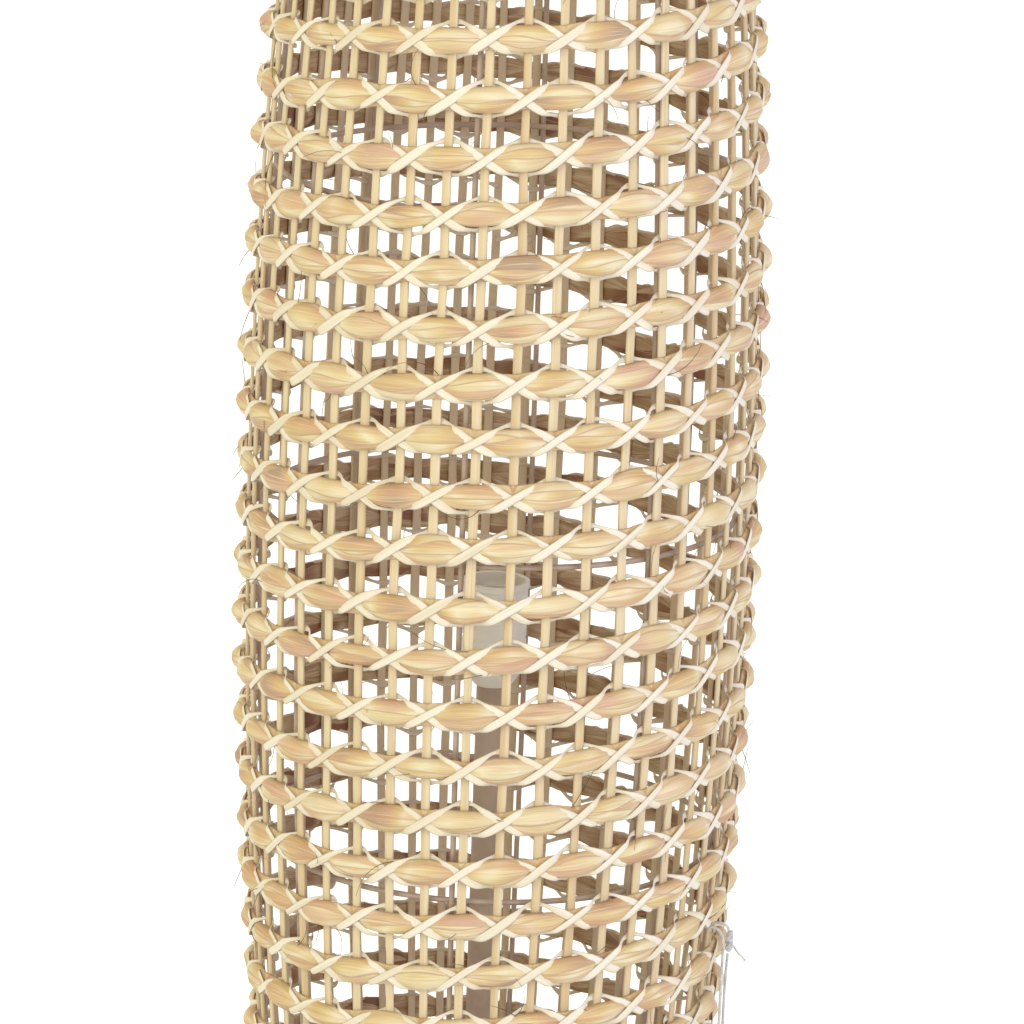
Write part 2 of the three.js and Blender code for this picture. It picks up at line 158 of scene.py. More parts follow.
def area_light(name, place, size, power, colour):
    """A soft square lamp that points at the middle of the object."""
    data = bpy.data.lights.new(name, "AREA")
    data.energy = power
    data.color = colour
    data.size = size
    lamp = add_object(name, data)
    lamp.location = place
    lamp.rotation_euler = (Vector(AIM) - Vector(place)).to_track_quat("-Z", "Y").to_euler()


area_light("key", (-1.5, -2.6, 2.3), 1.6, 27, (1, 0.96, 0.65))
area_light("fill", (2.2, -2.2, 1.5), 2.0, 22, (0.83, 0.86, 1))

# %% [markdown]
# ## The tie string
# A loop of thin cotton string is tied round one stake on the right, just under a row of leaf. It
# hangs down over two rows, and comes back up to a small knot. Cords come first, because their
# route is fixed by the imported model: these are its points, each counted out from the stakes'
# face, along the wall and up from the row. The string is three plies twisted together, so the
# tube is three-lobed and turns as it goes.

# %% The string's route
STRING_RADIUS = 0.9 * MM
STRING_PLACE = 8
STRING_ROW = -8
STRING_FACE = 140.76 * MM
STRING_ANGLE = FIRST_ANGLE + STRING_PLACE * STEP
STRING_HEIGHT = strand_height(1, STRING_PLACE) + STRING_ROW * ROW_PITCH
STRING_ROUTE = [
    (10.4, 4.5, -15.4), (9.2, 4.3, -12.6), (6.4, 4.1, -11.2), (2, 4.2, -11.2), (-1.8, 4.5, -11.7),
    (-4.7, 3.2, -12), (-5.4, 0, -12.1), (-4.7, -3.2, -12), (-1.8, -4.5, -11.7), (2, -4.2, -11.4),
    (6.2, -4, -12.6), (8.8, -3.8, -16.6), (9.4, -3.5, -24), (9.2, -3.2, -34), (9, -3, -46),
    (9, -3.1, -60), (9, -3.2, -74), (9.1, -4, -88), (9.2, -4.4, -97), (9.3, -2.6, -104),
    (9.4, 1.4, -104.4), (9.5, 3.8, -98), (9.6, 3.9, -88), (9.6, 3.2, -74), (9.7, 3, -58),
    (9.9, 3.2, -43), (10.3, 4, -29.6),
]


def by_string(out, sideways, up):
    """A place near the string, in millimetres out from the stakes, along the wall and up."""
    outward = Vector((math.sin(STRING_ANGLE), -math.cos(STRING_ANGLE), 0))
    along = Vector((math.cos(STRING_ANGLE), math.sin(STRING_ANGLE), 0))
    flat = outward * (STRING_FACE + out * MM) + along * (sideways * MM)
    return flat + Vector((0, 0, STRING_HEIGHT + up * MM))


def smooth_line(points, step):
    """A smooth line through the points, cut into short steps."""
    ends = [points[0] * 2 - points[1], *points, points[-1] * 2 - points[-2]]
    line = []
    for a, b, c, d in zip(ends, ends[1:], ends[2:], ends[3:]):
        cuts = max(2, math.ceil((c - b).length / step))
        for i in range(cuts):
            t = i / cuts
            bend = (a * 2 - b * 5 + c * 4 - d) * t * t + (b * 3 - a - c * 3 + d) * t ** 3
            line.append((b * 2 + (c - a) * t + bend) / 2)
    return [*line, points[-1]]


# %% A twisted string as a mesh
PLIES = 3
PLY_TURN = 6.5 * MM
PLY_DEPTH = 0.1
STRING_SIDES = 12


def tube_faces(rings, sides):
    """The four-sided faces between each ring of points and the next."""
    faces = []
    for i in range(rings - 1):
        for j in range(sides):
            one, two = i * sides + j, i * sides + (j + 1) % sides
            faces.append((one, two, two + sides, one + sides))
    return faces


def smooth_mesh(name, vertices, faces):
    mesh = bpy.data.meshes.new(name)
    mesh.from_pydata(vertices, [], faces)
    mesh.polygons.foreach_set("use_smooth", [True] * len(faces))
    return mesh


def string_mesh(name, line, radius, end_radius=None):
    """A three-lobed tube along a line, whose lobes turn as it goes, capped at both ends."""
    vertices = []
    normal = (line[1] - line[0]).orthogonal().normalized()
    travelled = 0
    for i, point in enumerate(line):
        ahead = (line[min(i + 1, len(line) - 1)] - line[max(i - 1, 0)]).normalized()
        normal = (normal - ahead * normal.dot(ahead)).normalized()
        side = ahead.cross(normal)
        travelled += (point - line[max(i - 1, 0)]).length
        twist = travelled / PLY_TURN * math.tau
        size = radius + ((end_radius or radius) - radius) * (i / (len(line) - 1))
        for j in range(STRING_SIDES):
            turn = math.tau * j / STRING_SIDES
            lobe = size * (1 - PLY_DEPTH + PLY_DEPTH * math.cos(PLIES * (turn - twist)))
            vertices.append(point + (normal * math.cos(turn) + side * math.sin(turn)) * lobe)
    faces = tube_faces(len(line), STRING_SIDES)
    faces.append(tuple(reversed(range(STRING_SIDES))))
    faces.append(tuple(range(len(vertices) - STRING_SIDES, len(vertices))))
    return smooth_mesh(name, vertices, faces)


def add_piece(name, mesh, material, slot, *stands_for):
    """Puts a finished mesh on the lamp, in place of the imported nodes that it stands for."""
    mesh.materials.clear()
    mesh.materials.append(material)
    piece = add_object(name, mesh)
    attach(piece, "root")
    if stands_for:
        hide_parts(*stands_for)
    print(f"{name}: {sum(len(p.vertices) - 2 for p in mesh.polygons)} triangles")
    return piece


COTTON = bpy.data.materials.new("cotton")
string_line = smooth_line([by_string(*point) for point in STRING_ROUTE], 0.5 * MM)
mesh = string_mesh("cotton_string", string_line, STRING_RADIUS)
string = add_piece("cotton_string", mesh, COTTON, "cotton", "tie_string")
string_length = sum((b - a).length for a, b in zip(string_line, string_line[1:]))
print(f"string {string_length:.3f} m long")

# %% The knot
# The knot is the same string wound round itself, with a short frayed tail that stands out to
# the right.
KNOT_TURNS = 5
KNOT_CUTS = 12
KNOT_WIND = 1.75
KNOT_TOP = -16.6
KNOT_LENGTH = 10.6
KNOT_TILT = 1.3
KNOT_PLACE = (10.8, 4.6)
CORE_END = 0.8
CORE_RADIUS = 1.5 * MM
TAIL_SLOPE = math.radians(39)
TAIL_LENGTH = 14.6 * MM
TAIL_CUTS = 24
TAIL_RADIUS = 0.75 * MM
TAIL_END_RADIUS = 0.6 * MM
FRAY = 16


def knot_line():
    """A wound knot from its top down, as places near the string."""
    points = []
    out, sideways = KNOT_PLACE
    steps = KNOT_TURNS * KNOT_CUTS
    for i in range(steps + 1):
        turn = i / KNOT_CUTS * math.tau
        share = i / steps
        wind = KNOT_WIND * (0.75 + 0.25 * math.sin(math.pi * share))
        up = KNOT_TOP - KNOT_LENGTH * share + KNOT_TILT * math.sin(turn + share * 9)
        points.append(by_string(out + wind * math.sin(turn), sideways + wind * math.cos(turn), up))
    return points


def mesh_from(work, name):
    """Ends the work on a mesh and gives it its name."""
    mesh = bpy.data.meshes.new(name)
    work.to_mesh(mesh)
    work.free()
    return mesh


def merged(name, meshes):
    """Several meshes as one."""
    work = bmesh.new()
    for mesh in meshes:
        work.from_mesh(mesh)
    return mesh_from(work, name)


knot_middle = by_string(*KNOT_PLACE, KNOT_TOP - KNOT_LENGTH / 2)
tail_way = Vector((math.sin(TAIL_SLOPE), 0, -math.cos(TAIL_SLOPE)))
tail_line = []
for i in range(TAIL_CUTS + 1):
    share = i / TAIL_CUTS
    waver = Vector((0, 0.5 * math.sin(share * 7), 0.6 * math.sin(share * 9))) * (MM * share)
    tail_line.append(knot_middle + tail_way * (TAIL_LENGTH * share) + waver)
core_heights = (CORE_END, -KNOT_LENGTH / 2, -KNOT_LENGTH - CORE_END)
core = [by_string(*KNOT_PLACE, KNOT_TOP + height) for height in core_heights]
parts = [
    string_mesh("knot", knot_line(), STRING_RADIUS),
    string_mesh("knot_core", smooth_line(core, MM), CORE_RADIUS),
    string_mesh("tail", tail_line, TAIL_RADIUS, TAIL_END_RADIUS),
]
start = tail_line[-3]
aim = tail_line[-1] - tail_line[-4]
for i in range(FRAY):
    spread = 0.7 + 1.5 * ((i * 7) % 5) / 5
    aside = aim.orthogonal().normalized()
    aside.rotate(Matrix.Rotation(i * 2.4, 3, aim))
    points = [start + aim * (t * 1.4) + aside * (spread * t * t * MM) for t in (0, 0.4, 0.8, 1.2)]
    parts.append(string_mesh("fray", points, 0.16 * MM, 0.05 * MM))
knot = add_piece("cotton_knot", merged("cotton_knot", parts), COTTON, "cotton", "string_knot")

# %% [markdown]
# ## Formulas as nodes
# Most of the lamp follows a rule, so most of it is made with Geometry Nodes. A long formula is
# hard to read as a heap of Math nodes. A small class lets it be written as plain arithmetic: each
# sign adds the node that does that sum.

# %% A formula that builds its own nodes


class Field:
    """A number that may change over a mesh. Sums with it become Math nodes in its tree."""

    def __init__(self, socket):
        self.socket = socket
        self.tree = socket.id_data

    def math(self, operation, *others):
        node = add(self.tree, "ShaderNodeMath", self, *others)
        node.operation = operation
        return Field(node.outputs[0])

    def __rsub__(self, other):
        return self.math("MULTIPLY_ADD", -1, other)

    def rise(self, low, high):
        """0 below low, 1 above high, and a smooth step between."""
        node = add(self.tree, "ShaderNodeMapRange", Value=self, From_Min=low, From_Max=high)
        node.interpolation_type = "SMOOTHSTEP"
        return Field(node.outputs["Result"])

    __add__ = partialmethod(math, "ADD")
    __sub__ = partialmethod(math, "SUBTRACT")
    __mul__ = __rmul__ = partialmethod(math, "MULTIPLY")
    __truediv__ = partialmethod(math, "DIVIDE")
    __pow__ = partialmethod(math, "POWER")
    __neg__ = partialmethod(math, "MULTIPLY", -1)
    sin = partialmethod(math, "SINE")
    cos = partialmethod(math, "COSINE")
    abs = partialmethod(math, "ABSOLUTE")
    sign = partialmethod(math, "SIGN")
    most = partialmethod(math, "MINIMUM")
    least = partialmethod(math, "MAXIMUM")


def feed(value, slot):
    """Joins a field or an output to an input, or sets the input to a plain value."""
    if isinstance(value, Field):
        value = value.socket
    if isinstance(value, bpy.types.NodeSocket):
        slot.id_data.links.new(value, slot)
    else:
        slot.default_value = value


def set_inputs(node, *values, **named):
    """Feeds a node's inputs in order, or by their names with _ for a space."""
    for slot, value in zip(node.inputs, values):
        feed(value, slot)
    for name, value in named.items():
        wanted = name.replace("_", " ")
        feed(value, next(s for s in node.inputs if s.name == wanted and s.enabled))
    return node


def add(tree, kind, *values, **named):
    """A new node with these inputs."""
    return set_inputs(tree.nodes.new(kind), *values, **named)


def vector(x, y, z):
    """Three numbers as one vector. The first is a field."""
    return add(x.tree, "ShaderNodeCombineXYZ", x, y, z).outputs[0]


def chance(copy, seed, low, high):
    """A number for each copy, the same on every run."""
    node = add(copy.tree, "FunctionNodeRandomValue", Min=low, Max=high, Seed=seed, ID=copy)
    return Field(next(s for s in node.outputs if s.enabled))


def noise(x, y, z, detail=1.0):
    """Smooth noise from about 0.25 to 0.75 at a place that fields give."""
    node = add(x.tree, "ShaderNodeTexNoise", Vector=vector(x, y, z), Scale=1, Detail=detail)
    return Field(node.outputs[0])


# %% Building a tree, and turning its result into a plain mesh


def new_tree(name, *sizes):
    """An empty Geometry Nodes tree with a named input for each size, and those inputs as fields."""
    tree = bpy.data.node_groups.new(name, "GeometryNodeTree")
    for way in ("INPUT", "OUTPUT"):
        tree.interface.new_socket("Geometry", in_out=way, socket_type="NodeSocketGeometry")
    for size in sizes:
        tree.interface.new_socket(size, in_out="INPUT", socket_type="NodeSocketFloat")
    tree.interface.new_socket("Material", in_out="INPUT", socket_type="NodeSocketMaterial")
    entry = tree.nodes.new("NodeGroupInput")
    return tree, {size: Field(entry.outputs[size]) for size in sizes}


def close_tree(*meshes):
    """Joins meshes, and ends their tree with Realize Instances and Set Material."""
    tree = meshes[0].id_data
    kinds = ("JoinGeometry", "RealizeInstances", "SetShadeSmooth", "SetMaterial")
    join, *rest = [tree.nodes.new("GeometryNode" + kind) for kind in kinds]
    for mesh in meshes:
        feed(mesh, join.inputs["Geometry"])
    entry = tree.nodes.new("NodeGroupInput")
    feed(entry.outputs["Material"], rest[-1].inputs["Material"])
    for one, two in zip((join, *rest), (*rest, tree.nodes.new("NodeGroupOutput"))):
        feed(one.outputs["Geometry"], two.inputs["Geometry"])
    return tree


def plain_mesh(thing):
    """What an object's modifiers make of it, as a plain mesh."""
    bpy.context.view_layer.update()
    evaluated = thing.evaluated_get(bpy.context.evaluated_depsgraph_get())
    return bpy.data.meshes.new_from_object(evaluated)


def bake(tree, name, values, material, slot, *stands_for):
    """Runs a tree with these sizes and keeps the result as a plain mesh that rides on the lamp."""
    host = add_object(name + "_host", bpy.data.meshes.new(name + "_host"))
    modifier = host.modifiers.new("nodes", "NODES")
    modifier.node_group = tree
    for item in tree.interface.items_tree:
        if item.name in values:
            modifier[item.identifier] = float(values[item.name])
        elif item.name == "Material":
            modifier[item.identifier] = material
    mesh = plain_mesh(host)
    bpy.data.objects.remove(host)
    mesh.name = name
    add_piece(name, mesh, material, slot, *stands_for)


# %% Tubes, and the places that their points are sent to


def sweep(tree, count, sides, copies=1, closed=False):
    """Tubes of count rings. Gives the mesh, the share along it, the turn round it and its copy."""
    circle = "GeometryNodeCurvePrimitiveCircle"
    if closed:
        line = add(tree, circle, Resolution=count).outputs["Curve"]
    else:
        line = tree.nodes.new("GeometryNodeCurvePrimitiveLine").outputs["Curve"]
    many = add(tree, "GeometryNodeDuplicateElements", Geometry=line, Amount=copies)
    many.domain = "SPLINE"
    path = many.outputs["Geometry"]
    if not closed:
        path = add(tree, "GeometryNodeResampleCurve", Curve=path, Count=count).outputs["Curve"]
    ring = add(tree, circle, Resolution=sides).outputs["Curve"]
    tube = add(tree, "GeometryNodeCurveToMesh", Fill_Caps=True)
    fields = {}
    for curve, end, *wanted in ((path, "Curve", "Share", "Copy"), (ring, "Profile Curve", "Turn")):
        along = tree.nodes.new("GeometryNodeSplineParameter").outputs["Factor"]
        keep = add(tree, "GeometryNodeCaptureAttribute", curve)
        for name in wanted:
            keep.capture_items.new("FLOAT", name)
            source = many.outputs["Duplicate Index"] if name == "Copy" else along
            feed(source, keep.inputs[name])
            fields[name] = Field(keep.outputs[name])
        feed(keep.outputs["Geometry"], tube.inputs[end])
    return tube.outputs["Mesh"], fields["Share"], fields["Turn"] * math.tau, fields["Copy"]


def put(mesh, angle, radius, z, **kept):
    """Moves each point to an angle from the front towards the right, a radius and a height.

    The other fields are kept on the mesh under their names, so that a material can read them.
    """
    tree = mesh.id_data
    place = vector(angle.sin() * radius, -(angle.cos() * radius), z)
    node = add(tree, "GeometryNodeSetPosition", mesh, Position=place)
    for name, value in kept.items():
        mesh = node.outputs["Geometry"]
        node = add(tree, "GeometryNodeStoreNamedAttribute", mesh, Name=name, Value=value)
    return node.outputs["Geometry"]


def wall(z):
    """Radius of the stakes' outer face, as a field."""
    return BELLY - (z / MID - 1) ** 2 * (BELLY - END)


# %% [markdown]
# ## Finishes
# Rattan and dry leaf are made of fine fibres that run lengthwise, so their grain follows each
# piece and not the room. The weave's meshes carry a map for that: how far along in stakes, and
# how far across from edge to edge. One shader group turns such a map into fine streaks, and the
# leaf, peel and stake materials use it with their own values.

# %% Colours and the shared grain group


def srgb(code):
    """A colour written as six hex digits, as Blender's linear numbers."""
    parts = [int(code[i : i + 2], 16) / 255 for i in (0, 2, 4)]
    linear = [p / 12.92 if p <= 0.04045 else ((p + 0.055) / 1.055) ** 2.4 for p in parts]
    return (*linear, 1)


def grain_group():
    """Fine streaks along a piece, and broad patches."""
    tree = bpy.data.node_groups.new("grain", "ShaderNodeTree")
    for name in ("Along", "Across", "Length", "Fineness"):
        tree.interface.new_socket(name, in_out="INPUT", socket_type="NodeSocketFloat")
    for name in ("Streaks", "Patches"):
        tree.interface.new_socket(name, in_out="OUTPUT", socket_type="NodeSocketFloat")
    entry = tree.nodes.new("NodeGroupInput")
    along, across, length, fineness = [Field(entry.outputs[i]) for i in range(4)]
    along = along * length
    across = across * fineness
    streaks = noise(along, across, 0.5, detail=3)
    patches = noise(along * 0.3, across * 0.12, 7.5, detail=2)
    add(tree, "NodeGroupOutput", streaks, patches)
    return tree


GRAIN = grain_group()


def grain(*values):
    """Streaks and patches from the shared group, for along, across, length and fineness."""
    node = values[0].tree.nodes.new("ShaderNodeGroup")
    node.node_tree = GRAIN
    return [Field(output) for output in set_inputs(node, *values).outputs]


# %% Helpers for finishes


def shade(material, **inputs):
    """Sets a material's shader, and gives its tree."""
    material.use_nodes = True
    set_inputs(material.node_tree.nodes["Principled BSDF"], **inputs)
    return material.node_tree


def new_material(name, roughness, metallic=0.0):
    """A material with a plain shader, and its tree."""
    material = bpy.data.materials.new(name)
    return material, shade(material, Roughness=roughness, Metallic=metallic)


def finish(colour, relief=None, strength=0.2, distance=0.2, rough=None):
    """Joins a colour to the shader, and where given a relief, in millimetres, and a roughness."""
    tree = colour.id_data
    shader = tree.nodes["Principled BSDF"].inputs
    feed(colour, shader["Base Color"])
    if rough:
        feed(rough, shader["Roughness"])
    if relief:
        bump = add(tree, "ShaderNodeBump", Strength=strength, Distance=distance * MM, Height=relief)
        feed(bump.outputs["Normal"], shader["Normal"])


def ramp(factor, *stops):
    """A colour that changes with a field, through stops of (place, hex colour)."""
    node = add(factor.tree, "ShaderNodeValToRGB", factor)
    elements = node.color_ramp.elements
    while len(elements) < len(stops):
        elements.new(0.5)
    for element, (place, code) in zip(elements, stops):
        element.position = place
        element.color = srgb(code)
    return node.outputs["Color"]


def mix(factor, first, second):
    """Two colours mixed by a field. A colour is an output, a hex code or linear numbers."""
    node = factor.tree.nodes.new("ShaderNodeMix")
    node.data_type = "RGBA"
    feed(factor, node.inputs["Factor"])
    for value, slot in ((first, node.inputs[6]), (second, node.inputs[7])):
        feed(srgb(value) if isinstance(value, str) else value, slot)
    return node.outputs[2]


def object_noise(tree, scale, detail=3.0, stretch=(1, 1, 1)):
    """Noise on the object's own coordinates, drawn out along an axis where stretch is below 1."""
    place = tree.nodes.new("ShaderNodeTexCoord").outputs["Object"]
    place = add(tree, "ShaderNodeMapping", Vector=place, Scale=stretch).outputs["Vector"]
    cloud = add(tree, "ShaderNodeTexNoise", Vector=place, Scale=scale, Detail=detail)
    return Field(cloud.outputs[0])


def carried(tree, *names):
    """Values that the mesh carries under these names."""
    found = []
    for name in names:
        node = tree.nodes.new("ShaderNodeAttribute")
        node.attribute_name = name
        found.append(Field(node.outputs["Fac"]))
    return found


# %% [markdown]
# The leaf's colour is partly its own and partly painted light and shade. Its tones change at
# random from fold to fold, and the ramp that gives them paints light and shade: cream and straw
# for lit folds, honey and peach beside them, and mauve or brown for folds in shadow. The fold
# lines and the upper edge get painted shade too. Its back is browner, and that brown is what
# shows through the openings from the far side of the barrel. The folds run together where the
# strips bind the leaf, so the grain does too: it follows a fan, which is wide over a stake and
# narrow at a crossing.

# %% Leaf


def fold_lines(place, fan, seed):
    """How far a point is from each of the two folds, counted across the fan."""
    apart = []
    for depth, start in ((17.5, 0.34), (23.5, -0.3)):
        fold = (noise(place * 0.22, seed, depth) - 0.5) * 4.4 + start
        apart.append(fan - fold)
    return apart


def near_folds(apart, reach):
    """1 on a fold, and 0 from reach on."""
    one, two = [1 - distance.abs().rise(0.0, reach) for distance in apart]
    return one.least(two)


LEAF, tree = new_material("dry_leaf", 0.6)
along, fan, side, seed = carried(tree, "along", "fan", "side", "seed")
apart = fold_lines(along, fan, seed)
crease = near_folds(apart, 0.14)
layer = apart[0].rise(0.05, -0.05) * 3.1 + apart[1].rise(0.05, -0.05) * 4.7 + seed
streaks, patches = grain(along, fan + layer, 0.7, 17)
tone = noise(along * 0.5, layer * 1.9 + fan * 0.25, 3.3, detail=1)
# the tone ramp paints light and shade: its shadowed stops for folds in shade, its lit stops for lit
# folds
shadowed = ((0.27, "b59a86"), (0.35, "d2ae8b"), (0.43, "dec692"))
lit = ((0.51, "ede1c6"), (0.59, "e3cea3"), (0.70, "d6b09c"))
face = ramp(tone, *shadowed, *lit)
for factor, code in (
    (((patches - 0.5) * 3.5).least(0).most(0.5), "cd9577"),
    (streaks.rise(0.53, 0.74) * 0.27, "a27c60"),
    ((0.5 - streaks).rise(0.02, 0.2) * 0.45, "f6ecd6"),
    # painted shade: the fold lines darkened to deep mauve, with a paler mauve band round them
    (crease.rise(0.8, 1.0) * 0.3, "93695a"),
    (crease * 0.22, "c09c8c"),
    # painted shade: browner towards the upper edge, most of all near each crossing
    (fan.rise(0.35, 1.0) * 0.3, "c49a66"),
    (fan.rise(-0.45, -1.0) * 0.35, "dfbda6"),
):
    face = mix(factor, face, code)
back = ramp(tone, (0.3, "8a5f4a"), (0.4, "bf9d80"), (0.55, "dcc6aa"), (0.68, "9a6c5a"))
back = mix(((patches - 0.48) * 4).least(0).most(0.6), back, "a48350")
back = mix(streaks.rise(0.46, 0.64) * 0.45, back, "785746")
colour = mix(side.rise(0.1, -0.1), face, back)
finish(colour, streaks - crease * 0.7, 0.35, 0.6, rough=streaks * 0.25 + 0.48)

# %% [markdown]
# ## The leaf strands
# Each strand is a bundle of soft leaf, folded lengthwise, that lies on the outside of the stakes.
# Over one stake it swells out, and at the next the pale strips cross over it and bind it flat. It
# could be modelled stake by stake, but the shape follows a rule, so one tree makes it: a tube is
# laid out, and each of its points is sent to its place by a formula. The swelling fills the eye
# between one crossing and the next, so it comes to a point under each crossing.

# %% Geometry Nodes for a folded leaf strand
LEAF_RINGS_PER_STAKE = 10
LEAF_SIDES = 18
LEAF_GAP = 0.5 * MM
LEAF_SWELL = 5.6 * MM
LEAF_TIP = 0.6  # of the way to the next stake, past the last crossing
HAND_WANDER = 9 * MM
EDGE_WANDER = 5 * MM
EYE_HALF = 7.8 * MM
BOUND_HALF = 1.1 * MM
LAYER_STEP = 0.7 * MM
FOLD_DEPTH = 0.9 * MM
LEAF_THICKNESS = 1.5 * MM
BACK_HOLLOW = 1.2 * MM


def along_strand(size, rings_per_stake, sides):
    """A tube from the first place to the last. Gives it, and its points' place, angle and turn."""
    span = size["Last"] - size["First"]
    tube, share, turn, _ = sweep(span.tree, span * rings_per_stake + 1, sides)
    place = size["First"] + share * span
    return tube, place, place * STEP + FIRST_ANGLE, turn


def strand_middle(size, place, angle):
    """Height of a strand's middle: its climb, with the small wander of hand work."""
    wander = (noise(place * 0.17, size["Seed"], 1.5) - 0.5) * HAND_WANDER
    return angle * (ROW_PITCH / math.pi) + size["Row"] * ROW_PITCH + WEAVE_HEIGHT + wander


def strand_sizes(number, row, first, last, front, past):
    """What leaf and strips share: where they run, with past added at both ends, and their seed."""
    sizes = {"First": first - past, "Last": last + past, "Front": front, "Row": row}
    return {**sizes, "Seed": number * 11.3 + 2.1}


_, size = new_tree("leaf strand", "First", "Last", "Front", "Row", "Seed", "Half Height", "Swell")
seed = size["Seed"]
tube, place, angle, turn = along_strand(size, LEAF_RINGS_PER_STAKE, LEAF_SIDES)
to_end = (place - size["First"]).most(size["Last"] - place)
whole = to_end.rise(-0.02, 0.3) * 0.98 + 0.02

# the eye: 1 over the stake where the leaf swells, 0 where the strips cross
eye = ((place - size["Front"]) * (math.pi / 2)).cos().abs()

# across runs from -1 to 1 over the leaf's height; outside is 1 in front and -1 at the back
across = turn.cos()
outside = turn.sin()
half = size["Half Height"] * (noise(place * 0.55, seed, 8.5) * 0.8 + 0.46) * whole
lift = (noise(place * 0.5, seed, 14.5) - 0.42) * EDGE_WANDER
rise = across * half * (eye * 0.22 + 0.78) + lift * (1 - eye * 0.6)
fan = rise / (eye * EYE_HALF + BOUND_HALF)
dome = (1 - (fan ** 2).most(1)) ** 0.5
fuller = noise(place * 0.45, seed, 4.5) * 0.9 + 0.6

# two folds run from crossing to crossing, and each leaves a valley and a slightly lower layer
apart = fold_lines(place, fan, seed)
steps = apart[0].rise(-0.1, 0.1) + apart[1].rise(-0.1, 0.1)
relief = (steps - 1) * LAYER_STEP - near_folds(apart, 0.3) * FOLD_DEPTH

front = outside.least(0)
swell = dome * eye ** 1.15 * fuller * size["Swell"]
thick = front ** 0.6 * LEAF_THICKNESS + swell * front ** 0.45
outer = (thick + relief * front * (eye * 0.8 + 0.2)) * whole
hollow = (place * math.pi).sin() ** 2 * (-outside).least(0) ** 0.7 * (BACK_HOLLOW * whole)
z = strand_middle(size, place, angle) + rise
radius = wall(z) + LEAF_GAP + outer - hollow
mesh = put(tube, angle, radius, z, along=place, fan=fan, side=outside, seed=seed)
STRAND = close_tree(mesh)
for number, (name, *places) in enumerate(RUNS):
    sizes = strand_sizes(number, *places, LEAF_TIP)
    sizes |= {"Half Height": LEAF_HALF, "Swell": LEAF_SWELL}
    bake(STRAND, name + "_folded", sizes, LEAF, "leaf", name)

# %% [markdown]
# ## The peel strips
# Two narrow strips of pale rattan peel bind each leaf strand. They cross as an X in front of the
# leaf at every second stake, and slip behind the stakes between, one above the leaf and one
# below. They are thin, glossy on the outside and nearly white. Two more swept tubes make them,
# because their path is the same rule with a wave added. Their ends are tucked behind the stake
# after the leaf's last one.

# %% Split rattan, and the peel's own tones


def rattan_material(name, roughness, length, fineness, tones, streak, inner, relief):
    """Fine lengthwise streaks over broad patches, with a duller inner side."""
    material, tree = new_material(name, roughness)
    along, across, side = carried(tree, "along", "across", "side")
    streaks, patches = grain(along, across, length, fineness)
    colour = ramp(patches, *tones)
    most, code = streak
    colour = mix(streaks.rise(0.55, 0.75) * most, colour, code)
    start, end, most, code = inner
    colour = mix(side.rise(start, end) * most, colour, code)
    finish(colour, streaks, *relief)
    return material


TONES = ((0.3, "e3d6c2"), (0.45, "ede3d4"), (0.6, "f2ebe3"), (0.75, "e6dbca"))
INNER = (0.1, -0.3, 0.5, "d3c2b4")
PEEL = rattan_material("rattan_peel", 0.42, 0.5, 4, TONES, (0.2, "c6ac90"), INNER, (0.2, 0.2))

# %% Geometry Nodes for a pair of peel strips
PEEL_RINGS_PER_STAKE = 11
PEEL_SIDES = 8
PEEL_REACH = 6.9 * MM
PEEL_WANDER = 5 * MM
BEHIND_STAKES = 2.75 * MM
OVER_LEAF = 6 * MM
OVER_THE_OTHER = 0.9 * MM
NARROWEST = 0.95 * MM
WIDTH_WANDER = 2.2 * MM
PEEL_HALF_THICKNESS = 0.4 * MM


def peel_strip(size, up, seed):
    """One strip of the pair: up is 1 for the strip that starts above the leaf, -1 for the other."""
    tube, place, angle, turn = along_strand(size, PEEL_RINGS_PER_STAKE, PEEL_SIDES)
    phase = (place - size["Front"]) * math.pi

    # the strip swings from above the leaf to below it once in every two stakes
    reach = noise(place * 0.5, seed, 5.5) * PEEL_WANDER + PEEL_REACH
    drift = (noise(place * 0.4, seed, 12.5) - 0.5) * PEEL_WANDER
    swing = (phase * 0.5).cos() * up
    slant = (phase * 0.5).sin() * up
    crossing = (1 - phase.cos()) * 0.5
    over = (-slant).rise(0.5, 1.0) * OVER_THE_OTHER
    out = crossing.rise(0.03, 0.62) * OVER_LEAF - BEHIND_STAKES + over

    # a flat section that lies across the strip's own slope, and twists thin as it dives in
    across = turn.cos()
    outside = turn.sin()
    width = noise(place * 0.3, seed, 2.5) * WIDTH_WANDER + NARROWEST
    behind = (0.14 - crossing).rise(0.02, 0.12)
    flat = across * width * (crossing.rise(0.15, 0.8) * 0.55 + behind * 0.4 + 0.45)
    z = strand_middle(size, place, angle) + swing * reach + drift * crossing + flat
    lean = flat * swing * (1 - crossing) * 0.6
    radius = wall(z) + out + outside * PEEL_HALF_THICKNESS - lean
    turned_angle = angle + slant * flat * 0.62 / BELLY
    kept = {"along": place + seed, "across": across, "side": outside}
    return put(tube, turned_angle, radius, z, **kept)


_, size = new_tree("peel strips", "First", "Last", "Front", "Row", "Seed")
PEEL_STRIPS = close_tree(peel_strip(size, 1, 3.0), peel_strip(size, -1, 61.0))
for number, (name, *places) in enumerate(RUNS):
    peel_name = name.replace("leaf_strand", "peel_strips")
    bake(PEEL_STRIPS, peel_name, strand_sizes(number, *places, 1), PEEL, "pale_leaf")

# %% [markdown]
# ## The stakes
# A stake is a flat strip split from the rattan's core. It is straw coloured, a little uneven, and
# its grain runs from end to end. One tree lays out all the stakes: a strip is swept once and its
# copies are turned round the barrel. The formula is the barrel's own bow.

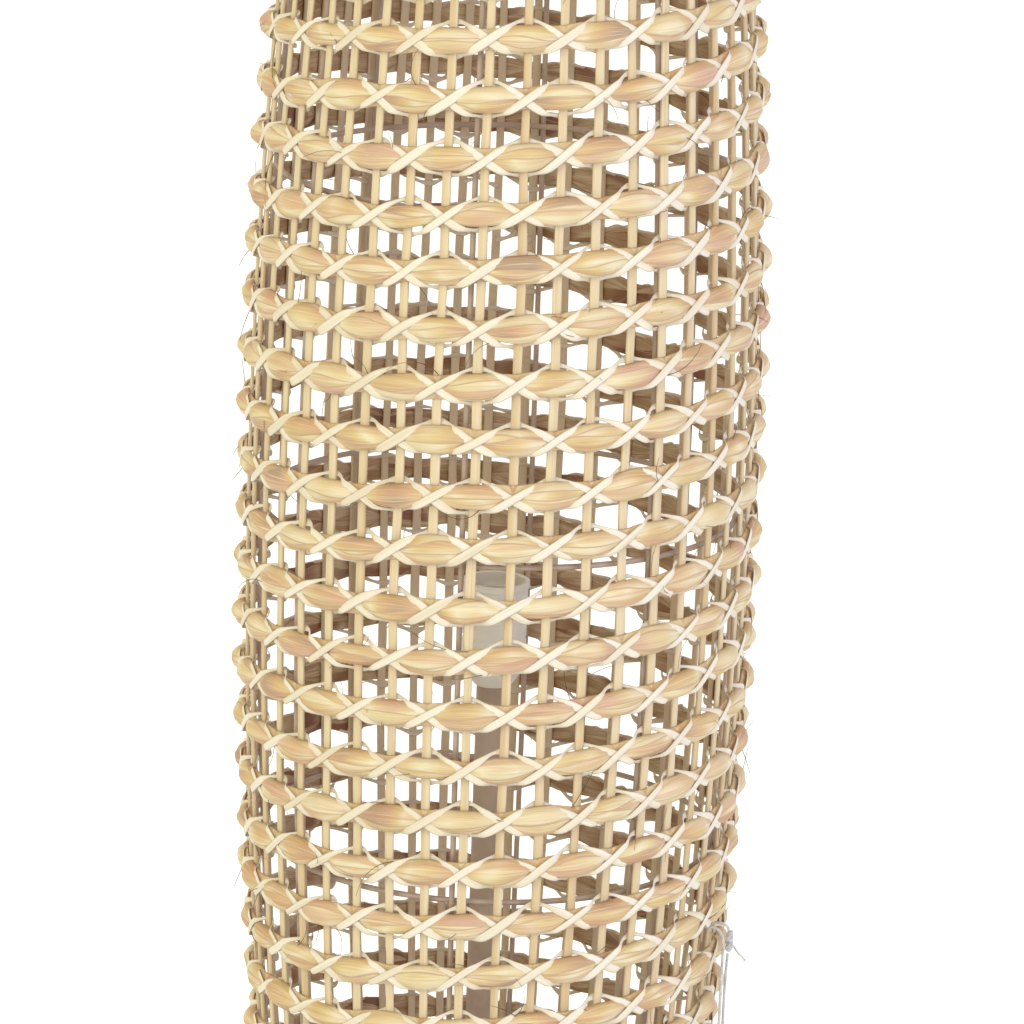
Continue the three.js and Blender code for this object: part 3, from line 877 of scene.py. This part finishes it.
# %% The stakes' own tones
TONES = ((0.3, "d2b692"), (0.45, "dfcaa8"), (0.55, "e7d6b9"), (0.72, "d7bd9c"))
INNER = (0.0, -0.5, 0.85, "dfcbb4")
STAKE = rattan_material("rattan_stake", 0.55, 6, 3.5, TONES, (0.25, "b58b5c"), INNER, (0.3, 0.3))

# %% Geometry Nodes for the stakes
STAKE_RINGS = 72
STAKE_SIDES = 12
STAKE_SWAY = 4.2 * MM
STAKE_WIDTH = 5.4 * MM
STAKE_THICKNESS = 2 * MM

tree, size = new_tree("stakes", "Low", "High", "Width", "Thickness")
tube, share, turn, copy = sweep(tree, STAKE_RINGS, STAKE_SIDES, copies=STAKES)
z = size["Low"] + share * (size["High"] - size["Low"])
sway = (noise(share * 9, copy * 7.7, 3.5) - 0.5) * STAKE_SWAY
thick = noise(share * 14, copy * 3.3, 6.5) * 0.5 + 0.75
# a rounded oblong: the powers push the circle's sides out towards the corners
across = turn.cos()
outside = -turn.sin()
flat = across.sign() * across.abs() ** 0.45 * size["Width"] * 0.5 * thick
deep = outside.sign() * outside.abs() ** 0.6 * size["Thickness"] * 0.5
angle = (sway + flat) / BELLY + copy * STEP + FIRST_ANGLE
radius = wall(z) - size["Thickness"] * 0.5 + deep
kept = {"along": z + copy * 3.7, "across": across + copy * 11.0, "side": outside}
STAKE_SET = close_tree(put(tube, angle, radius, z, **kept))

low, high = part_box("stake_01")
sizes = {"Low": low.z, "High": high.z, "Width": STAKE_WIDTH, "Thickness": STAKE_THICKNESS}
all_stakes = [name for name in nodes if name.startswith("stake_")]
bake(STAKE_SET, "stakes_split", sizes, STAKE, "rattan", *all_stakes)

# %% [markdown]
# ## The inner frame
# Eight bowed uprights and seven hoops of steel wire are welded into a cage inside the stakes. It
# is painted in a warm mauve grey. Wires that follow a rule are swept tubes again: one sweep with
# eight copies makes the uprights, and one with seven closed copies makes the hoops.

# %% Painted wire
PAINT, tree = new_material("mauve_paint", 0.42)
cloud = object_noise(tree, 35, 4)
colour = ramp(cloud, (0.35, "b49e92"), (0.5, "c0ab9f"), (0.65, "c9b6aa"))
finish(colour, cloud, 0.15, 0.3, rough=cloud * 0.3 + 0.28)
WIRE = 1.65 * MM
WIRE_SIDES = 10
UPRIGHTS = 8
UPRIGHT_RINGS = 61
HOOPS = 7
HOOP_RINGS = 96
HOOP_PITCH = 200 * MM
FRAME_DEPTH = 6.2 * MM
HOOP_DEPTH = 2.9 * MM
FIRST_UPRIGHT = math.radians(-8)

tree, size = new_tree("wire frame", "Low", "High", "Wire", "Depth", "Hoop Depth")
tube, share, turn, copy = sweep(tree, UPRIGHT_RINGS, WIRE_SIDES, copies=UPRIGHTS)
z = size["Low"] + share * (size["High"] - size["Low"])
radius = wall(z) - size["Depth"]
angle = copy * (math.tau / UPRIGHTS) + FIRST_UPRIGHT + turn.sin() * size["Wire"] / radius
uprights = put(tube, angle, radius + turn.cos() * size["Wire"], z)

ring, share, turn, copy = sweep(tree, HOOP_RINGS, WIRE_SIDES, copies=HOOPS, closed=True)
z = (copy * HOOP_PITCH).least(size["Low"]).most(size["High"])
radius = wall(z) - size["Depth"] - size["Hoop Depth"] + turn.cos() * size["Wire"]
hoops = put(ring, share * math.tau, radius, z - turn.sin() * size["Wire"])
CAGE = close_tree(uprights, hoops)

low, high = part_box("inner_frame")
sizes = {"Low": low.z + WIRE, "High": high.z - WIRE, "Wire": WIRE}
sizes |= {"Depth": FRAME_DEPTH, "Hoop Depth": HOOP_DEPTH}
bake(CAGE, "wire_cage", sizes, PAINT, "rod_paint", "inner_frame")

# %% [markdown]
# ## The wrapped rims
# Both ends of the barrel are closed by a coil, wrapped round and round with flat leaf. Each turn
# of the wrapping overlaps the one before, so the coil's thickness rises along a turn and drops at
# its edge. The drop leans, because a wrapping always runs at a slant.

# %% Geometry Nodes for a wrapped rim
RIM_TURNS = 74
RIM_RINGS_PER_TURN = 10
RIM_SIDES = 20

tree, size = new_tree("wrapped rim", "Height", "Radius", "Thickness", "Seed")
ring, share, turn, _ = sweep(tree, RIM_TURNS * RIM_RINGS_PER_TURN, RIM_SIDES, closed=True)
slanted = share * RIM_TURNS + turn * (1 / math.tau)
number = slanted.math("FLOOR")
within = slanted - number
step = within ** 1.4 * within.rise(1.0, 0.9)
uneven = chance(number + size["Seed"], 3, 0, 1)
thick = size["Thickness"] * (step * 0.07 + uneven * 0.04 + 0.86)
radius = size["Radius"] + turn.cos() * thick
z = size["Height"] - turn.sin() * thick
# through fan and along, the leaf material paints shade here too: dark fold lines, and a browner
# band near the thick end of each turn
kept = {"along": turn * 0.35 + uneven * 31, "fan": within * 1.6 - 0.8}
kept |= {"side": 1, "seed": number * 1.7 + size["Seed"]}
RIM = close_tree(put(ring, share * math.tau, radius, z, **kept))
for number, name in enumerate(("foot_rim", "top_rim")):
    low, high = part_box(name)
    thickness = (high.z - low.z) / 2
    sizes = {"Height": (high.z + low.z) / 2, "Radius": high.x - thickness}
    sizes |= {"Thickness": thickness, "Seed": number * 5.5}
    bake(RIM, name + "_wrapped", sizes, LEAF, "pale_leaf", name)

# %% [markdown]
# ## Turned pieces
# The post, the parts of the lamp holder and the wooden foot are all round, so each is a closed
# outline turned about an axis. A short helper does that, and a small live bevel takes the
# sharpness off the edges.

# %% Helpers that measure a node and turn an outline
TURNED_SIDES = 64
SHARP = math.radians(35)


def heights(node):
    """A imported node's lowest and highest points, in millimetres."""
    return [corner.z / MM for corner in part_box(node)]


def turned(name, outline, material, slot, bevel, *stands_for, axis=None):
    """Turns a closed outline of (radius, height) in millimetres into a solid of many sides."""
    work = bmesh.new()
    rings = []
    for radius, height in outline:
        count = TURNED_SIDES if radius > 0 else 1
        ring = []
        for i in range(count):
            turn = math.tau * i / count
            spot = Vector((radius * math.cos(turn), radius * math.sin(turn), height)) * MM
            ring.append(work.verts.new(axis @ spot if axis else spot))
        rings.append(ring)
    for one, two in zip(rings, rings[1:] + rings[:1]):
        for i in range(TURNED_SIDES):
            around = ((one, i), (one, i + 1), (two, i + 1), (two, i))
            corners = dict.fromkeys(ring[k % len(ring)] for ring, k in around)
            if len(corners) > 2:
                work.faces.new(corners)
    bmesh.ops.recalc_face_normals(work, faces=work.faces)
    mesh = mesh_from(work, name)
    mesh.polygons.foreach_set("use_smooth", [True] * len(mesh.polygons))
    mesh.set_sharp_from_angle(angle=SHARP)
    piece = add_piece(name, mesh, material, slot, *stands_for)
    if bevel:
        edge = piece.modifiers.new("bevel", "BEVEL")
        edge.width = bevel * MM
        edge.segments = 2
        edge.limit_method = "ANGLE"
        edge.angle_limit = SHARP
        edge.harden_normals = True
    return piece


# %% Finishes of the turned pieces


def plastic_material(name, roughness, *tones):
    """Moulded plastic or glaze: nearly even, with faint clouding and a fine skin."""
    material, tree = new_material(name, roughness)
    cloud = object_noise(tree, 60)
    skin = object_noise(tree, 900, 2)
    colour = ramp(cloud, *zip((0.3, 0.5, 0.7), tones))
    finish(colour, skin, 0.08, 0.1, rough=cloud * 0.2 + (roughness - 0.1))
    return material


def metal_material(name, roughness, stretch, *tones):
    """Bare metal with the faint lines of turning or rolling."""
    material, tree = new_material(name, roughness, metallic=1.0)
    lines = object_noise(tree, 700, 3, stretch)
    colour = ramp(object_noise(tree, 90), *zip((0.3, 0.5, 0.7), tones))
    finish(colour, lines, 0.2, 0.1, rough=lines * 0.25 + (roughness - 0.12))
    return material


# Stained board: long grain, pores and a few darker bands.
TIMBER, tree = new_material("timber", 0.5)
bands = object_noise(tree, 26, 3, (0.16, 1, 0.5))
pores = object_noise(tree, 420, 3, (0.05, 1, 1))
tones = ((0.3, "7d5a3a"), (0.45, "9a7350"), (0.58, "ad875f"), (0.72, "8c6644"))
colour = mix(pores.rise(0.55, 0.75) * 0.5, ramp(bands, *tones), "5d412a")
finish(colour, -pores, 0.25, rough=pores * 0.3 + 0.35)

# Pressed wool: a dense mat of short fibres.
FELT, tree = new_material("wool_felt", 0.95)
mat = object_noise(tree, 900, 4, (1, 0.5, 1))
wool = mat * 0.7 + object_noise(tree, 120) * 0.3
colour = ramp(wool, (0.35, "342b25"), (0.5, "4a3f37"), (0.65, "62564b"))
finish(colour, mat, 0.8, 0.4)
WHITE = plastic_material("white_plastic", 0.32, "f5f3f0", "f9f8f6", "fcfbfa")
GLAZE = plastic_material("glazed_ceramic", 0.2, "e9e4d8", "f0ece2", "f4f1ea")
BRASS = metal_material("brass", 0.3, (1, 1, 0.04), "c39a4e", "d4ac60", "dfbd78")
ZINC = metal_material("zinc", 0.4, (0.05, 1, 1), "9a9c9c", "b0b2b2", "c4c5c4")

# %% The foot: board and felt
PAD_THICKNESS = 3
pad_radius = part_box("floor_pad")[1].x / MM
pad = [(0, 0), (pad_radius, 0), (pad_radius, PAD_THICKNESS), (0, PAD_THICKNESS)]
turned("felt_pad", pad, FELT, "felt", 0.5, "floor_pad")

DISC_LOW, DISC_TOP = heights("base_disc")
DISC_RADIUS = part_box("base_disc")[1].x / MM
LEDGE = DISC_LOW + 9
STUD_HOLE = 5.3
COUNTERBORE = 15
board = [
    (STUD_HOLE, LEDGE), (COUNTERBORE, LEDGE), (COUNTERBORE, DISC_LOW),
    (DISC_RADIUS, DISC_LOW), (DISC_RADIUS, DISC_TOP), (STUD_HOLE, DISC_TOP),
]
turned("foot_board", board, TIMBER, "timber", 1.4, "base_disc")

# %% The post, its gland and its nut
POST = 9.5
POST_BORE = 8.3
POST_TOP = 489
POST_END_WALL = 3
NECK = 5
NECK_BORE = 3.6
NECK_TOP = POST_TOP + 9
SEAT_GAP = 0.3
GLAND_HEIGHT = 36.3
GLAND_HOLE = 4.5
post_low, _ = heights("post")
post_foot = DISC_TOP + SEAT_GAP
bore_low = post_foot + POST_END_WALL
bore_top = POST_TOP - POST_END_WALL
outline = [
    (0, post_low), (NECK, post_low), (NECK, post_foot), (POST, post_foot), (POST, POST_TOP),
    (NECK, POST_TOP), (NECK, NECK_TOP), (NECK_BORE, NECK_TOP), (NECK_BORE, bore_top),
    (POST_BORE, bore_top), (POST_BORE, bore_low), (0, bore_low),
]
post = turned("painted_post", outline, PAINT, "rod_paint", 0, "post")

# the drill is turned a little, so that none of its edges lies on one of the post's
work = bmesh.new()
drill_place = Matrix.Translation((0, 10 * MM, GLAND_HEIGHT * MM))
bmesh.ops.create_cone(
    work,
    cap_ends=True,
    segments=32,
    radius1=GLAND_HOLE * MM,
    radius2=GLAND_HOLE * MM,
    depth=14 * MM,
    matrix=drill_place @ Matrix.Rotation(math.pi / 2, 4, "X") @ Matrix.Rotation(0.04, 4, "Z"),
)
drill = add_object("drill", mesh_from(work, "drill"))
cut = post.modifiers.new("hole", "BOOLEAN")
cut.operation = "DIFFERENCE"
cut.object = drill
holed = plain_mesh(post)
post.modifiers.clear()
post.data = holed
bpy.data.objects.remove(drill)

backwards = Matrix.Translation((0, 0, GLAND_HEIGHT * MM)) @ Matrix.Rotation(-math.pi / 2, 4, "X")
bush = [(3, 11.8), (3, 4.8), (4.2, 4.8), (4.2, 9.8), (6.6, 9.8), (6.6, 11.8)]
turned("lead_gland", bush, WHITE, "white_plastic", 0.4, "cable_gland", axis=backwards)
nodes["post_nut"].data.materials.clear()
nodes["post_nut"].data.materials.append(ZINC)

# %% [markdown]
# ## The lamp holder
# The holder is a white cap and body, with a glazed ceramic insert and a brass screw shell. No
# bulb is fitted, so its mouth shows. The shell's thread is rolled into thin sheet: the wall is
# the same thickness all over, and in and out waves climb it as one long helix.

# %% Cap, body and insert
HOLDER = 19
HOLDER_WALL = 2
INSIDE = HOLDER - HOLDER_WALL
CAP_HOLE = 5.3
CAP_FLOOR = 11
CAP_WALL = 3
GROOVE = 0.5
CAP, CAP_TOP = heights("holder_cap")
cap = [
    (CAP_HOLE, CAP), (CAP_FLOOR, CAP), (HOLDER, CAP + 12), (HOLDER, CAP_TOP), (INSIDE, CAP_TOP),
    (INSIDE, CAP + 15), (CAP_FLOOR, CAP + CAP_WALL), (CAP_HOLE, CAP + CAP_WALL),
]
turned("white_cap", cap, WHITE, "white_plastic", 0.8, "holder_cap")

BODY, BODY_TOP = heights("holder_body")
body = [
    (INSIDE, BODY), (HOLDER, BODY), (HOLDER, BODY + 8), (HOLDER - GROOVE, BODY + 8.6),
    (HOLDER - GROOVE, BODY + 10), (HOLDER, BODY + 10.6), (HOLDER, BODY_TOP - 4),
    (HOLDER + 1, BODY_TOP - 3.6), (HOLDER + 1, BODY_TOP), (INSIDE, BODY_TOP),
]
turned("white_body", body, WHITE, "white_plastic", 0.3, "holder_body")

INSERT = 16.6
INSERT_MOUTH = 14.6
SEAT = BODY + 9
_, insert_top = heights("holder_insert")
insert = [
    (0, BODY), (INSERT, BODY), (INSERT, insert_top), (INSERT_MOUTH, insert_top),
    (INSERT_MOUTH, SEAT), (0, SEAT),
]
turned("ceramic_insert", insert, GLAZE, "ceramic", 0.5, "holder_insert")

# %% The screw shell and its centre contact
SHELL_LOW, SHELL_TOP = heights("screw_shell")
SHELL_WALL = 0.55
SHELL_OUTER = 14.25
SHELL_HOLE = 5
THREAD_PITCH = 3.63
THREAD_DEPTH = 0.85
THREAD_SIDES = 48
THREAD_RINGS = 70
FADE_LOW = 2.5
FADE_TOP = 1.5


def shell_mesh():
    """Threaded sheet: up the outside, over the lip, down the inside, and across the floor."""
    floor_top = SHELL_LOW + SHELL_WALL
    rise = [SHELL_LOW + (SHELL_TOP - SHELL_LOW) * i / THREAD_RINGS for i in range(THREAD_RINGS + 1)]
    outer = [(SHELL_OUTER, height) for height in rise]
    inner = [(SHELL_OUTER - SHELL_WALL, height) for height in [*rise[:0:-1], floor_top]]
    vertices = []
    for radius, height in [(SHELL_HOLE, SHELL_LOW), *outer, *inner, (SHELL_HOLE, floor_top)]:
        for j in range(THREAD_SIDES):
            turn = math.tau * j / THREAD_SIDES
            near = min((height - SHELL_LOW) / FADE_LOW, (SHELL_TOP - height) / FADE_TOP, 1)
            wave = math.cos(math.tau * height / THREAD_PITCH - turn) - 1
            deep = radius + wave * THREAD_DEPTH / 2 * max(near, 0) * (radius > SHELL_HOLE)
            vertices.append((deep * math.cos(turn) * MM, deep * math.sin(turn) * MM, height * MM))
    count = len(vertices)
    faces = tube_faces(count // THREAD_SIDES + 1, THREAD_SIDES)
    faces = [tuple(i % count for i in face) for face in faces]
    mesh = smooth_mesh("threaded_shell", vertices, faces)
    mesh.set_sharp_from_angle(angle=math.radians(50))
    return mesh


add_piece("threaded_shell", shell_mesh(), BRASS, "brass", "screw_shell")
steps = ((0, 0), (4.2, 0), (4.2, 1), (3, 2.2), (1.6, 2.9), (0, 3.1))
contact = [(radius, SEAT + height) for radius, height in steps]
turned("centre_contact", contact, BRASS, "brass", 0.2)

# %% [markdown]
# ## Loose fibres
# The leaf sheds thin brown fibres. They curl out of the rows, and some stand clear of the
# outline. There are a few hundred, so each is a tube of only three sides and few rings. Chance
# chooses each one's row, place, lean and curl, with a fixed seed.

# %% Geometry Nodes for the fibres
FIBRES = 560
FIBRE_RINGS = 9
FIBRE_SIDES = 3
FIBRE_RADIUS = 0.32 * MM
LONGEST_FIBRE = 34 * MM
FIBRE_EDGE = 7 * MM
FIBRE_OUT = 1.5 * MM
FIBRE_STAND = 10 * MM

tree, size = new_tree("loose fibres", "Lowest Row", "Highest Row", "Thickness", "Longest")
tube, share, turn, copy = sweep(tree, FIBRE_RINGS, FIBRE_SIDES, copies=FIBRES)
place = chance(copy, 11, 0, STAKES)
row = chance(copy, 12, size["Lowest Row"], size["Highest Row"]).math("ROUND")
edge = chance(copy, 13, -FIBRE_EDGE, FIBRE_EDGE)
slope = chance(copy, 14, -1.1, 1.1)
way = chance(copy, 15, -1, 1).sign()
length = chance(copy, 16, 0.15, 1) ** 2 * size["Longest"]
curl = chance(copy, 17, -0.9, 0.9)
stand = chance(copy, 18, 0.1, 1) ** 2 * FIBRE_STAND
angle = place * STEP + FIRST_ANGLE
base = angle * (ROW_PITCH / math.pi) + row * ROW_PITCH + WEAVE_HEIGHT + edge
lean = slope + curl * share * 1.4
sideways = lean.cos() * way * share * length
thin = size["Thickness"] * (1 - share * 0.5)
z = base + lean.sin() * share * length + turn.cos() * thin * lean.cos()
radius = wall(z) + FIBRE_OUT + share * stand + turn.sin() * thin * way
angle = angle + (sideways - turn.cos() * thin * lean.sin() * way) / BELLY
FIBRE_SET = close_tree(put(tube, angle, radius, z, along=share * 3 + copy * 2.3))

FIBRE, tree = new_material("loose_fibre", 0.7)
cloud = noise(*carried(tree, "along"), 0.5, 0.5, detail=2)
finish(ramp(cloud, (0.35, "4c3a2e"), (0.5, "75583f"), (0.65, "b09068")))

rows_below = int((WEAVE_HEIGHT - WEAVE_LOW) / ROW_PITCH) - 1
rows_above = int((WEAVE_HIGH - WEAVE_HEIGHT) / ROW_PITCH) - 3
sizes = {"Lowest Row": -rows_below, "Highest Row": rows_above}
sizes |= {"Thickness": FIBRE_RADIUS, "Longest": LONGEST_FIBRE}
bake(FIBRE_SET, "loose_fibres", sizes, FIBRE, "leaf")

# %% [markdown]
# ## The string's finish
# The cotton is a cool off-white, with fine darker flecks.

# %% Cotton
tree = shade(COTTON, Roughness=0.85, Sheen_Weight=0.3)
flecks = object_noise(tree, 1600, 3, (1, 1, 0.4))
tone = flecks * 0.6 + object_noise(tree, 240, 2) * 0.4
colour = ramp(tone, (0.32, "a2a2a8"), (0.48, "cbccd2"), (0.62, "e2e3e8"))
finish(colour, flecks, 0.6, 0.25)

# %% [markdown]
# ## A pale floor in a white room
# What lies behind the lamp is plain white, but that white must not put more light on the lamp.
# Light Path tells the rays of the camera and of a gloss from those that carry light, so both the
# floor and the world show one strength to the first and give another to the second. The room's
# light is a little warmer from the left.

# %% Floor and world
SIDE = 12
GLOW = 0.45
ROOM_LIGHT = 0.87
PALE = (0.86, 0.86, 0.86, 1)
WHITE_LIGHT = (1, 1, 1, 1)
WARM = (1, 0.97, 0.65, 1)
COOL = (0.94, 0.935, 1, 1)


def seen(tree):
    """1 for what the camera or a gloss sees, and 0 for light on its way to the lamp."""
    path = tree.nodes.new("ShaderNodeLightPath")
    rays = [Field(path.outputs[name]) for name in ("Is Camera Ray", "Is Glossy Ray")]
    return rays[0].least(rays[1])


floor_mesh = bpy.data.meshes.new("floor")
corners = [(x * SIDE, y * SIDE, 0) for x, y in ((-1, -1), (1, -1), (1, 1), (-1, 1))]
floor_mesh.from_pydata(corners, [], [(0, 1, 2, 3)])
add_object("floor", floor_mesh)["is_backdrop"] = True
material, tree = new_material("floor", 0.9)
floor_mesh.materials.append(material)
shade(material, Base_Color=PALE, Emission_Color=WHITE_LIGHT, Emission_Strength=seen(tree) * GLOW)

world = bpy.data.worlds.new("studio")
world.use_nodes = True
bpy.context.scene.world = world
tree = world.node_tree
sky = tree.nodes["Background"]
way = tree.nodes.new("ShaderNodeTexCoord").outputs["Generated"]
from_left = Field(add(tree, "ShaderNodeSeparateXYZ", way).outputs["X"]) * 0.5 + 0.5
room = mix(from_left, WARM, COOL)
feed(mix(seen(tree), room, WHITE_LIGHT), sky.inputs["Color"])
feed(seen(tree) * (1 - ROOM_LIGHT) + ROOM_LIGHT, sky.inputs["Strength"])

low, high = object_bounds()
sizes = {"cad": [list(cad_low), list(cad_high)], "visual": [list(low), list(high)]}
